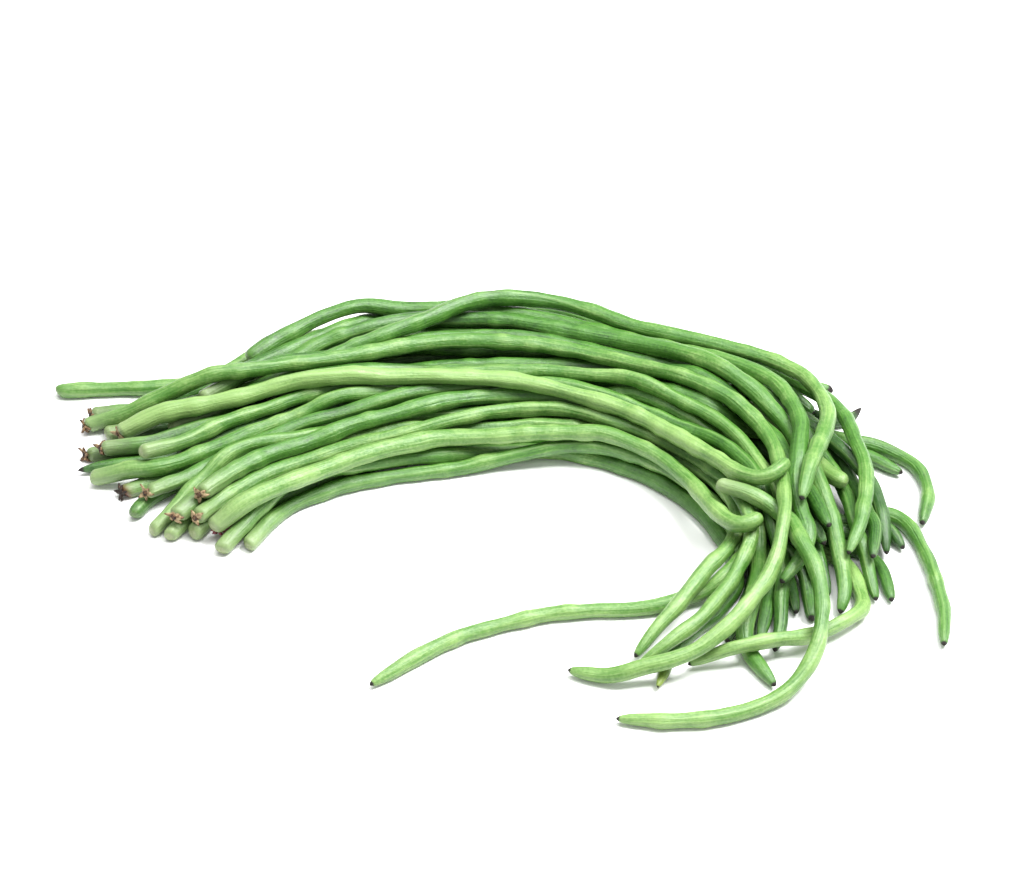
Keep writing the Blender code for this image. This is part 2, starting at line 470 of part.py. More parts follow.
def centred(lines):
    """The pods' lines, moved so that the middle of the bunch's box is above the origin."""
    low = np.min([line.min(axis=0) for line in lines], axis=0)
    high = np.max([line.max(axis=0) for line in lines], axis=0)
    middle = np.array([(low[0] + high[0]) / 2, (low[1] + high[1]) / 2, 0])
    return [line - middle for line in lines]


def main():
    for old in list(bpy.data.objects):
        bpy.data.objects.remove(old)
    bunch = bpy.data.collections.new(BUNCH_NAME)
    bpy.context.scene.collection.children.link(bunch)
    draw = np.random.default_rng(SEED)
    pods = []
    for points in ROUTES.values():
        line = spaced(rounded_route(points))
        pods.append((line, pod_radii(len(line), draw)))
    lines = centred(settle(pods))
    for name, line, (_, radii) in zip(ROUTES, lines, pods):
        centres, thick = ring_list(line, radii, name)
        make_pod(name, centres, thick, skin(name + "_green", draw), bunch)


main()
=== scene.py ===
"""Dresses the yardlong bean bunch: knobbly pods with stem ends and tips, on a pale floor.

Every pod's line and thickness are read from the solid of its CAD node, so each fine pod lies
where its solid lies. All lengths are in metres, +Z is up, and the bunch lies on Z = 0.
"""

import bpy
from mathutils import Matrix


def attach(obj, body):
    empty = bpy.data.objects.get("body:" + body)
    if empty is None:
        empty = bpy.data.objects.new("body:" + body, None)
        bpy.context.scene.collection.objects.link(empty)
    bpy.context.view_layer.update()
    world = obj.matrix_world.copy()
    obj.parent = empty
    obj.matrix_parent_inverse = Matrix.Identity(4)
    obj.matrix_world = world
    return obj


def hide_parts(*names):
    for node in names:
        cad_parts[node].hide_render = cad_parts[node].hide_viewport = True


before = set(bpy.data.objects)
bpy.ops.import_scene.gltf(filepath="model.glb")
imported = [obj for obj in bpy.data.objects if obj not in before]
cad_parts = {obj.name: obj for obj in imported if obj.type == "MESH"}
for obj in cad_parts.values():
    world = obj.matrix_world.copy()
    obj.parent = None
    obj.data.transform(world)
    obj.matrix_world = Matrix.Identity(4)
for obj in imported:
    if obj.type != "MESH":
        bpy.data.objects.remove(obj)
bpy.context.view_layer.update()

import logging
import math
from dataclasses import dataclass, field
from enum import Enum
from typing import Any, Sequence

import bpy
import numpy as np
from mathutils import Vector

LOG = logging.getLogger("bean_bunch")
BODY = "root"
LOWEST = 0.0001
Colour = tuple[float, float, float]


# ---- Shader maths ----


class Value:
    """A shader socket that carries a number, with Python's operators turned into Math nodes."""

    def __init__(self, maker: "ShaderMaker", socket: Any) -> None:
        """Wraps a socket of the maker's node tree.

        Args:
            maker: the tree that the socket belongs to.
            socket: an output socket.
        """
        self.maker = maker
        self.socket = socket

    def _math(self, operation: str, *inputs: Any) -> "Value":
        """Adds one Math node.

        Args:
            operation: the Math node's operation.
            inputs: its inputs, as sockets, values or numbers.

        Returns:
            The node's result.
        """
        settings = {"operation": operation}
        node = self.maker.node("ShaderNodeMath", settings, dict(enumerate(inputs)))
        return Value(self.maker, node.outputs[0])

    def __add__(self, other: Any) -> "Value":
        """self + other."""
        return self._math("ADD", self, other)

    def __radd__(self, other: Any) -> "Value":
        """other + self."""
        return self._math("ADD", other, self)

    def __sub__(self, other: Any) -> "Value":
        """self - other."""
        return self._math("SUBTRACT", self, other)

    def __rsub__(self, other: Any) -> "Value":
        """other - self."""
        return self._math("SUBTRACT", other, self)

    def __mul__(self, other: Any) -> "Value":
        """self * other."""
        return self._math("MULTIPLY", self, other)

    def __rmul__(self, other: Any) -> "Value":
        """other * self."""
        return self._math("MULTIPLY", other, self)

    def ramp(self, low: float, high: float) -> "Value":
        """0 below low, 1 above high, and a smooth rise between.

        Args:
            low: the value that gives 0.
            high: the value that gives 1.

        Returns:
            The eased value.
        """
        settings = {"interpolation_type": "SMOOTHSTEP"}
        inputs = {"Value": self, "From Min": low, "From Max": high}
        node = self.maker.node("ShaderNodeMapRange", settings, inputs)
        return Value(self.maker, node.outputs["Result"])


class ShaderMaker:
    """Builds one material's node tree around its Principled shader."""

    def __init__(self, name: str) -> None:
        """Makes the material.

        Args:
            name: the material's name.
        """
        self.material = bpy.data.materials.new(name)
        self.material.use_nodes = True
        self.tree = self.material.node_tree
        self.shader = self.tree.nodes["Principled BSDF"]

    def feed(self, socket: Any, value: Any) -> None:
        """Links or sets one input socket.

        Args:
            socket: the input socket.
            value: a Value, an output socket, a number or a colour.
        """
        if isinstance(value, Value):
            value = value.socket
        if isinstance(value, bpy.types.NodeSocket):
            self.tree.links.new(value, socket)
        elif isinstance(value, tuple) and len(value) == 3 and socket.type == "RGBA":
            socket.default_value = (*value, 1.0)
        else:
            socket.default_value = value

    def node(self, kind: str, settings: dict[str, Any], inputs: dict[Any, Any]) -> Any:
        """Adds a node: its settings first, and then its sockets.

        Args:
            kind: the node's type.
            settings: the node's own properties.
            inputs: socket name or index, and what goes in.

        Returns:
            The new node.
        """
        made = self.tree.nodes.new(kind)
        for key, value in settings.items():
            setattr(made, key, value)
        for key, value in inputs.items():
            self.feed(made.inputs[key], value)
        return made

    def attribute(self, name: str) -> Value:
        """A number stored on the mesh's points.

        Args:
            name: the attribute's name.

        Returns:
            The attribute's value.
        """
        made = self.node("ShaderNodeAttribute", {"attribute_name": name}, {})
        return Value(self, made.outputs["Fac"])

    def grain(self, name: str) -> Any:
        """A vector stored on the mesh's points, as an output socket."""
        return self.node("ShaderNodeAttribute", {"attribute_name": name}, {}).outputs["Vector"]

    def place(self) -> Any:
        """The point's place in the bunch, as an output socket."""
        return self.node("ShaderNodeTexCoord", {}, {}).outputs["Object"]

    def noise(self, where: Any, scale: float, detail: float = 2.0, rough: float = 0.5) -> Value:
        """Cloudy noise around 0.5.

        Args:
            where: the vector that it is read at.
            scale: how many clouds a unit of that vector holds.
            detail: how many finer layers there are.
            rough: how strong the finer layers are.

        Returns:
            The noise.
        """
        inputs = {"Vector": where, "Scale": scale, "Detail": detail, "Roughness": rough}
        made = self.node("ShaderNodeTexNoise", {}, inputs)
        return Value(self, made.outputs["Fac"])

    def mix(self, share: Any, one: Any, other: Any) -> Any:
        """A colour between two colours.

        Args:
            share: how much of the other colour is in it, from 0 to 1.
            one: the colour at 0.
            other: the colour at 1.

        Returns:
            The mixed colour's output socket.
        """
        made = self.node("ShaderNodeMix", {"data_type": "RGBA", "clamp_factor": True}, {})
        self.feed(made.inputs[0], share)
        self.feed(made.inputs[6], one)
        self.feed(made.inputs[7], other)
        return made.outputs[2]

    def bump(self, height: Any, distance: float, strength: float) -> Any:
        """A bumped normal.

        Args:
            height: the height, from 0 to 1.
            distance: how high 1 is, in metres.
            strength: how much of it is used.

        Returns:
            The normal's output socket.
        """
        inputs = {"Height": height, "Distance": distance, "Strength": strength}
        return self.node("ShaderNodeBump", {}, inputs).outputs["Normal"]

    def set(self, **inputs: Any) -> None:
        """Sets the Principled shader's sockets.

        Args:
            inputs: socket names with underscores for spaces, and their values.
        """
        for key, value in inputs.items():
            self.feed(self.shader.inputs[key.replace("_", " ")], value)


def srgb(red: int, green: int, blue: int) -> Colour:
    """A linear colour from screen values.

    Args:
        red: the red value, from 0 to 255.
        green: the green value.
        blue: the blue value.

    Returns:
        The linear colour: c / 12.92 under 0.04045, and ((c + 0.055) / 1.055) ** 2.4 above it.
    """
    parts = [c / 255 for c in (red, green, blue)]
    return tuple(c / 12.92 if c < 0.04045 else ((c + 0.055) / 1.055) ** 2.4 for c in parts)


@dataclass(frozen=True)
class PodSkin:
    """The finish of a fresh pod: mottled green with fine lengthwise streaks and a faint wax, with
    painted highlights on the seed swellings and the raised seam, and painted shade in the pinches
    and furrows beside them.

    The scales count clouds in a metre, or in a unit of the vector that runs along the pod; the
    shares say how strongly each of them changes the shade.
    """

    light: Colour = srgb(126, 160, 88)
    middle: Colour = srgb(67, 117, 36)
    deep: Colour = srgb(30, 74, 12)
    pale_end: Colour = srgb(138, 156, 108)
    cut_face: Colour = srgb(146, 156, 110)
    bruise: Colour = srgb(104, 120, 66)
    fibre: Colour = srgb(130, 161, 96)
    dark_tip: Colour = srgb(24, 17, 10)
    yellow_tip: Colour = srgb(116, 138, 46)
    maroon: Colour = srgb(112, 16, 40)
    rust: Colour = srgb(92, 45, 27)
    roughness: float = 0.42
    coat: float = 0.22
    coat_roughness: float = 0.38
    cloud_scale: float = 60.0
    streak_scale: float = 2.6
    fine_scale: float = 9.0
    line_scale: float = 1.3
    speckle_scale: float = 620.0
    cloud_share: float = 0.70
    streak_share: float = 0.60
    line_share: float = 0.65
    speckle_share: float = 0.60
    painted_swell_light_share: float = 0.20
    relief_height: float = 0.0011
    relief_strength: float = 0.7

    def make(self) -> bpy.types.Material:
        """Builds the material from the pods' point attributes.

        Returns:
            The finished material.
        """
        maker = ShaderMaker("pod_skin")
        place, grain = maker.place(), maker.grain("grain")
        # This attribute carries painted shade and light along with each pod's own green.
        tone = maker.attribute("tone")
        swell = maker.attribute("swell")
        clouds = maker.noise(place, self.cloud_scale, 3.0, 0.6)
        streaks = maker.noise(grain, self.streak_scale, 3.0, 0.6)
        fine = maker.noise(grain, self.fine_scale, 2.0, 0.6)
        lines = maker.noise(maker.grain("fibre"), self.line_scale, 2.0, 0.55)
        speckle = maker.noise(place, self.speckle_scale, 2.0, 0.6)
        # The swell term is painted light: the seed swellings are painted lighter and the pinches
        # between them darker.
        shade = tone + (clouds - 0.5) * self.cloud_share + (streaks - 0.5) * self.streak_share
        shade = shade + (swell - 0.5) * self.painted_swell_light_share + (lines - 0.5) * self.line_share
        shade = shade + (speckle - 0.5) * self.speckle_share
        green = maker.mix(shade.ramp(0.0, 0.55), self.deep, self.middle)
        green = maker.mix(shade.ramp(0.45, 1.15), green, self.light)
        green = maker.mix(fine.ramp(0.56, 0.80) * 0.35, green, self.fibre)
        seam = maker.attribute("seam")
        # Along the raised seam, the ridge is lighter, partly as the seam's own paler line and
        # partly as painted highlight. The furrows beside it are darker, as painted shade.
        green = maker.mix(seam.ramp(0.3, 1.0) * 0.35, green, self.fibre)
        green = maker.mix((0.0 - seam).ramp(0.25, 1.0) * 0.40, green, self.deep)
        green = maker.mix(maker.attribute("pale"), green, self.pale_end)
        green = maker.mix(maker.attribute("rim") * (clouds * 1.2 - 0.1), green, self.bruise)
        green = maker.mix(maker.attribute("cut") * 0.7, green, self.cut_face)
        green = maker.mix(maker.attribute("yellow"), green, self.yellow_tip)
        green = maker.mix(maker.attribute("blush"), green, self.maroon)
        green = maker.mix(maker.attribute("rusty"), green, self.rust)
        dark = maker.attribute("dark")
        green = maker.mix((dark + (streaks - 0.5) * 0.8).ramp(0.25, 0.75), green, self.dark_tip)
        relief = streaks * 0.5 + fine * 0.2 + clouds * 0.6 + lines * 0.5 + speckle * 0.30
        maker.set(
            Base_Color=green,
            Roughness=self.roughness + (fine - 0.5) * 0.22 + dark * 0.4,
            Normal=maker.bump(relief, self.relief_height, self.relief_strength),
            Coat_Weight=self.coat * (1.0 - dark),
            Coat_Roughness=self.coat_roughness,
            Subsurface_Weight=0.05,
            Subsurface_Radius=Vector((0.5, 1.0, 0.25)),
            Subsurface_Scale=0.0012,
        )
        return maker.material


@dataclass(frozen=True)
class DriedCalyx:
    """The finish of the dried flower remains on a stem end: brown, matte and wrinkled."""

    brown: Colour = srgb(98, 70, 44)
    dark: Colour = srgb(33, 20, 11)
    straw: Colour = srgb(158, 138, 104)

    def make(self) -> bpy.types.Material:
        """Builds the material.

        Returns:
            The finished material.
        """
        maker = ShaderMaker("dried_calyx")
        place = maker.place()
        # The tone attribute holds the remains' lightness plus painted highlight and shade along
        # each sepal, so the straw colour falls mostly along the sepals' middles.
        blotch = maker.noise(place, 700.0, 2.0, 0.6) + maker.attribute("tone") - 0.5
        wrinkle = maker.noise(place, 1400.0, 2.0, 0.6)
        brown = maker.mix(blotch.ramp(0.25, 0.50), self.dark, self.brown)
        brown = maker.mix(blotch.ramp(0.48, 0.75), brown, self.straw)
        maker.set(
            Base_Color=brown,
            Roughness=0.75,
            Normal=maker.bump(wrinkle, 0.0004, 0.6),
        )
        return maker.material


@dataclass(frozen=True)
class PaleFloor:
    """The finish of the studio floor: an even, matte white."""

    white: Colour = (0.93, 0.93, 0.93)
    roughness: float = 0.9

    def make(self) -> bpy.types.Material:
        """Builds the material.

        Returns:
            The finished material.
        """
        maker = ShaderMaker("pale_floor")
        maker.set(Base_Color=self.white, Roughness=self.roughness)
        return maker.material


# ---- Looks of each pod ----


class StemEnd(Enum):
    """What is left at a pod's stem end."""

    PALE = "pale rounded end"
    GREEN = "green rounded end"
    STAR = "open brown star of dried sepals"
    TUFT = "dark crumpled tuft of dried sepals"
    MAROON = "maroon end with maroon sepals on a short stalk"
    RUST = "rust-brown end with a dark tuft of sepals"


class Tip(Enum):
    """How a pod's far end closes."""

    DARK_POINT = "point with a dark dot"
    DARK_BLUNT = "blunt end with a dark spot"
    GREEN_BLUNT = "blunt end in the pod's own green"
    YELLOW_POINT = "thin yellow-green point"
    DARK_THIN = "thin dried dark end"
    DARK_LONG = "long dried dark end"


@dataclass(frozen=True)
class PodLook:
    """One pod's shade and ends: 0 is the deepest green and 1 the lightest, at the stem end and at
    the far end. These values hold the pod's own green together with painted shade and light: pods
    that lie low or under others in the bunch are given darker values, and pods lit on top are
    given lighter ones.
    """

    tone: float
    stem: StemEnd = StemEnd.PALE
    tip: Tip = Tip.DARK_POINT
    far_tone_and_shade: float = 0.5


# The values below mix each pod's own green with painted shade and light: the low, mid and back
# pods are set darker for the shade under the pile, and the pods lit on top are set lighter.
LOOKS: dict[str, PodLook] = {
    "pod_inner": PodLook(0.55, far_tone_and_shade=1.00),
    "pod_front_low": PodLook(0.64, StemEnd.PALE, Tip.YELLOW_POINT, far_tone_and_shade=0.40),
    "pod_red_end": PodLook(0.45, StemEnd.MAROON, far_tone_and_shade=0.25),
    "pod_front_bright": PodLook(0.85, StemEnd.PALE, Tip.GREEN_BLUNT, far_tone_and_shade=0.85),
    "pod_pale_pair_right": PodLook(0.60, far_tone_and_shade=0.35),
    "pod_pale_pair_left": PodLook(0.70, far_tone_and_shade=0.85),
    "pod_star_right": PodLook(0.66, StemEnd.STAR, far_tone_and_shade=0.95),
    "pod_star_left": PodLook(0.34, StemEnd.STAR, far_tone_and_shade=0.34),
    "pod_brown_calyx": PodLook(0.58, StemEnd.STAR, far_tone_and_shade=0.50),
    "pod_steep_pale": PodLook(0.70, far_tone_and_shade=0.45),
    "pod_dark_calyx": PodLook(0.50, StemEnd.STAR, far_tone_and_shade=0.40),
    "pod_green_end": PodLook(0.34, StemEnd.GREEN, far_tone_and_shade=0.24),
    "pod_rust_end": PodLook(0.50, StemEnd.RUST, far_tone_and_shade=1.00),
    "pod_long_left": PodLook(0.66, far_tone_and_shade=0.30),
    "pod_backward": PodLook(0.95, StemEnd.GREEN, Tip.DARK_THIN, far_tone_and_shade=0.30),
    "pod_pale_top": PodLook(0.58, far_tone_and_shade=0.80),
    "pod_cluster_low": PodLook(0.30, StemEnd.TUFT, far_tone_and_shade=0.30),
    "pod_across_top": PodLook(1.20, StemEnd.STAR, Tip.GREEN_BLUNT, far_tone_and_shade=0.85),
    "pod_cluster_side": PodLook(0.60, StemEnd.TUFT, far_tone_and_shade=0.95),
    "pod_back_fourth": PodLook(0.36, far_tone_and_shade=0.55),
    "pod_crosser": PodLook(0.42, StemEnd.GREEN, far_tone_and_shade=0.80),
    "pod_back_third": PodLook(0.42, far_tone_and_shade=0.65),
    "pod_back_second": PodLook(0.40, StemEnd.GREEN, far_tone_and_shade=0.60),
    "pod_cluster_top": PodLook(0.44, StemEnd.TUFT, far_tone_and_shade=0.55),
    "pod_stray": PodLook(0.78, StemEnd.GREEN, Tip.DARK_BLUNT, far_tone_and_shade=0.40),
    "pod_hook": PodLook(0.55, far_tone_and_shade=1.10),
    "pod_low_a": PodLook(0.28, StemEnd.TUFT, far_tone_and_shade=0.35),
    "pod_low_b": PodLook(0.24, far_tone_and_shade=0.24),
    "pod_low_c": PodLook(0.28, StemEnd.GREEN, far_tone_and_shade=0.60),
    "pod_low_d": PodLook(0.28, StemEnd.GREEN, far_tone_and_shade=0.45),
    "pod_low_e": PodLook(0.26, StemEnd.GREEN, Tip.DARK_LONG, far_tone_and_shade=0.05),
    "pod_mid_a": PodLook(0.32, StemEnd.GREEN, Tip.GREEN_BLUNT, far_tone_and_shade=0.40),
    "pod_mid_b": PodLook(0.34, far_tone_and_shade=0.42),
    "pod_mid_c": PodLook(0.34, far_tone_and_shade=0.26),
    "pod_mid_d": PodLook(0.32, far_tone_and_shade=0.22),
}


# ---- Lines and surfaces ----


@dataclass
class Line:
    """A line through space with a half thickness at each of its points.

    Attributes:
        points: (n, 3) places.
        radii: (n,) half thicknesses.
    """

    points: np.ndarray
    radii: np.ndarray

    @property
    def along(self) -> np.ndarray:
        """Distance of each point from the first one, along the line."""
        steps = np.linalg.norm(np.diff(self.points, axis=0), axis=1)
        return np.concatenate([[0.0], np.cumsum(steps)])

    def at(self, marks: np.ndarray) -> "Line":
        """The line read at other distances.

        Args:
            marks: distances from the first point.

        Returns:
            The line with a point at each mark, straight between its own points.
        """
        along = self.along
        points = np.stack([np.interp(marks, along, column) for column in self.points.T], axis=1)
        return Line(points, np.interp(marks, along, self.radii))


def eased(values: np.ndarray, spread: float) -> np.ndarray:
    """Values evened out with a bell-shaped window; the first and the last one stay.

    Args:
        values: (n,) or (n, k) values at even steps.
        spread: the bell's standard deviation, in steps.

    Returns:
        The evened values: sum of values times exp(-(i - j)^2 / (2 spread^2)), over its weight.
    """
    reach = int(3 * spread) + 1
    flat = values.reshape(len(values), -1)
    before = 2 * flat[:1] - flat[1 : reach + 1][::-1]
    after = 2 * flat[-1:] - flat[-reach - 1 : -1][::-1]
    padded = np.vstack([before, flat, after])
    bell = np.exp(-0.5 * (np.arange(-reach, reach + 1) / spread) ** 2)
    bell /= bell.sum()
    smooth = np.stack([np.convolve(column, bell, mode="valid") for column in padded.T], axis=1)
    return smooth.reshape(values.shape)


@dataclass
class SolidReader:
    """Reads a pod's line from the rings of its plain solid.

    Attributes:
        sides: corners in each ring.
        weld: corners closer than this are one corner.
        step: spacing of the line's points.
        spread: how far the line's corners are eased.
        radius_spread: how far steps in its thickness are eased.
    """

    sides: int = 8
    weld: float = 1e-5
    step: float = 0.0005
    spread: float = 0.0045
    radius_spread: float = 0.0015

    def corners(self, node: bpy.types.Object) -> tuple[np.ndarray, np.ndarray]:
        """The solid's own corners and triangles, with equal corners made one.

        Args:
            node: the CAD node's object.

        Returns:
            (n, 3) corners and (m, 3) triangles.
        """
        mesh = node.data
        mesh.calc_loop_triangles()
        places = np.empty(len(mesh.vertices) * 3, np.float32)
        mesh.vertices.foreach_get("co", places)
        triangles = np.empty(len(mesh.loop_triangles) * 3, np.int32)
        mesh.loop_triangles.foreach_get("vertices", triangles)
        places = places.reshape(-1, 3).astype(float)
        keys = np.round(places / self.weld).astype(np.int64)
        _, first, same = np.unique(keys, axis=0, return_index=True, return_inverse=True)
        return places[first], same.ravel()[triangles].reshape(-1, 3)

    def cap(self, corners: np.ndarray, triangles: np.ndarray) -> np.ndarray:
        """One end cap: a flat group of triangles whose corners lie on a circle.

        Args:
            corners: (n, 3) corners.
            triangles: (m, 3) triangles.

        Returns:
            The indices of the cap's corners.
        """
        a, b, c = (corners[triangles[:, k]] for k in range(3))
        normals = np.cross(b - a, c - a)
        normals /= np.linalg.norm(normals, axis=1)[:, None]
        offsets = np.sum(normals * a, axis=1)
        flat = (normals @ normals.T > 0.9998) & (abs(offsets[:, None] - offsets) < 2e-5)
        groups = {tuple(np.unique(triangles[row])) for row in flat if row.sum() >= self.sides - 2}
        caps = [np.array(group) for group in groups if len(group) == self.sides]
        spread = []
        for group in caps:
            away = np.linalg.norm(corners[group] - corners[group].mean(axis=0), axis=1)
            spread.append(float(np.ptp(away) / away.mean()))
        return caps[int(np.argmin(spread))]

    def rings(self, node: bpy.types.Object) -> Line:
        """The centre and half thickness of each ring of the solid, from the stem end on.

        Args:
            node: the CAD node's object.

        Returns:
            The line through the rings' centres.
        """
        corners, triangles = self.corners(node)
        near = np.zeros((len(corners), len(corners)), bool)
        for one, other in ((0, 1), (1, 2), (2, 0)):
            near[triangles[:, one], triangles[:, other]] = True
            near[triangles[:, other], triangles[:, one]] = True
        ring = np.zeros(len(corners), bool)
        ring[self.cap(corners, triangles)] = True
        seen, centres, radii = ring.copy(), [], []
        while ring.any():
            centre = corners[ring].mean(axis=0)
            centres.append(centre)
            radii.append(np.linalg.norm(corners[ring] - centre, axis=1).mean())
            ring = near[ring].any(axis=0) & ~seen
            seen |= ring
        line = Line(np.array(centres), np.array(radii))
        return line if radii[0] > radii[-1] else Line(line.points[::-1], line.radii[::-1])

    def read(self, node: bpy.types.Object) -> Line:
        """The pod's line at even steps, curved smoothly through its bends.

        Between rings i and i + 1 the line is the cubic with end slopes taken over the rings on
        both sides; its corners are then eased.

        Args:
            node: the CAD node's object.

        Returns:
            The smooth line.
        """
        rings = self.rings(node)
        along = rings.along
        knots = np.column_stack([rings.points, rings.radii])
        slopes = np.gradient(knots, along, axis=0)
        marks = np.linspace(0, along[-1], int(along[-1] / self.step) + 1)
        leg = np.clip(np.searchsorted(along, marks, side="right") - 1, 0, len(along) - 2)
        span = (along[leg + 1] - along[leg])[:, None]
        t = (marks - along[leg])[:, None] / span
        curve = (
            (2 * t**3 - 3 * t**2 + 1) * knots[leg]
            + (t**3 - 2 * t**2 + t) * span * slopes[leg]
            + (3 * t**2 - 2 * t**3) * knots[leg + 1]
            + (t**3 - t**2) * span * slopes[leg + 1]
        )
        curve[:, :3] = eased(curve[:, :3], self.spread / self.step)
        curve[:, 3] = eased(curve[:, 3], self.radius_spread / self.step)
        return Line(curve[:, :3], curve[:, 3])


def upright_frames(points: np.ndarray) -> tuple[np.ndarray, np.ndarray, np.ndarray]:
    """Directions along a line that never stands upright.

    Args:
        points: (n, 3) places.

    Returns:
        The unit directions ahead, to the side (Z x ahead), and up (ahead x side) at each point.
    """
    ahead = np.gradient(points, axis=0)
    ahead /= np.linalg.norm(ahead, axis=1)[:, None]
    side = np.cross([0.0, 0.0, 1.0], ahead)
    side /= np.linalg.norm(side, axis=1)[:, None]
    return ahead, side, np.cross(ahead, side)


@dataclass
class Grid:
    """A closed surface of rings: each ring is joined to the next, and a pole closes each end.

    Attributes:
        places: (rings, sides, 3) places on the surface.
        poles: (2, 3) places of the first and the last pole.
    """

    places: np.ndarray
    poles: np.ndarray

    def vertices(self) -> np.ndarray:
        """All places, ring by ring, and then the two poles, as (n, 3)."""
        return np.vstack([self.places.reshape(-1, 3), self.poles])

    def faces(self, start: int = 0) -> tuple[np.ndarray, np.ndarray]:
        """The surface's faces, turned outwards.

        Args:
            start: the index of the grid's first place in the mesh.

        Returns:
            (q, 4) quads between the rings, and (t, 3) triangles at the poles.
        """
        rings, sides = self.places.shape[:2]
        column = np.arange(sides)
        after = (column + 1) % sides
        row = np.arange(rings - 1)[:, None] * sides
        quads = np.stack([row + column, row + after, row + sides + after, row + sides + column])
        first, last = rings * sides, rings * sides + 1
        end = (rings - 1) * sides
        head = np.stack([np.full(sides, first), after, column], axis=1)
        tail = np.stack([np.full(sides, last), end + column, end + after], axis=1)
        return quads.reshape(4, -1).T + start, np.vstack([head, tail]) + start


@dataclass
class MeshParts:
    """Closed surfaces gathered for one mesh, with numbers stored on their points."""

    grids: list[Grid] = field(default_factory=list)
    materials: list[int] = field(default_factory=list)
    marks: list[dict[str, np.ndarray]] = field(default_factory=list)

    def add(self, grid: Grid, material: int, marks: dict[str, np.ndarray]) -> None:
        """Adds a surface.

        Args:
            grid: the surface.
            material: which of the mesh's materials it takes.
            marks: attribute name and its value at each of the surface's points.
        """
        self.grids.append(grid)
        self.materials.append(material)
        self.marks.append(marks)

    def build(self, name: str, finishes: Sequence[bpy.types.Material]) -> bpy.types.Object:
        """Makes one object of all the surfaces.

        Args:
            name: the object's name.
            finishes: its materials.

        Returns:
            The object, linked to the scene, with smooth faces.
        """
        starts = np.cumsum([0] + [len(grid.vertices()) for grid in self.grids])
        places = np.vstack([grid.vertices() for grid in self.grids])
        sides = [grid.faces(int(start)) for grid, start in zip(self.grids, starts)]
        loops = np.concatenate([np.concatenate([q.ravel(), t.ravel()]) for q, t in sides])
        sizes = np.concatenate([np.repeat([4, 3], [len(q), len(t)]) for q, t in sides])
        slots = np.repeat(self.materials, [len(q) + len(t) for q, t in sides])
        mesh = bpy.data.meshes.new(name)
        mesh.vertices.add(len(places))
        mesh.vertices.foreach_set("co", places.astype(np.float32).ravel())
        mesh.loops.add(len(loops))
        mesh.loops.foreach_set("vertex_index", loops.astype(np.int32))
        mesh.polygons.add(len(sizes))
        begins = np.concatenate([[0], np.cumsum(sizes)[:-1]])
        mesh.polygons.foreach_set("loop_start", begins.astype(np.int32))
        for finish in finishes:
            mesh.materials.append(finish)
        mesh.polygons.foreach_set("material_index", slots.astype(np.int32))
        mesh.polygons.foreach_set("use_smooth", np.ones(len(sizes), bool))
        for key in self.marks[0]:
            self.store(mesh, key, np.concatenate([marks[key] for marks in self.marks]))
        mesh.update(calc_edges=True)
        mesh.validate()
        made = bpy.data.objects.new(name, mesh)
        bpy.context.scene.collection.objects.link(made)
        return made

    @staticmethod
    def store(mesh: bpy.types.Mesh, key: str, values: np.ndarray) -> None:
        """Stores numbers or vectors on the mesh's points.

        Args:
            mesh: the mesh.
            key: the attribute's name.
            values: (n,) numbers or (n, 3) vectors.
        """
        vector = values.ndim == 2
        kind, slot = ("FLOAT_VECTOR", "vector") if vector else ("FLOAT", "value")
        stored = mesh.attributes.new(key, kind, "POINT")
        stored.data.foreach_set(slot, values.astype(np.float32).ravel())


# ---- Pods ----


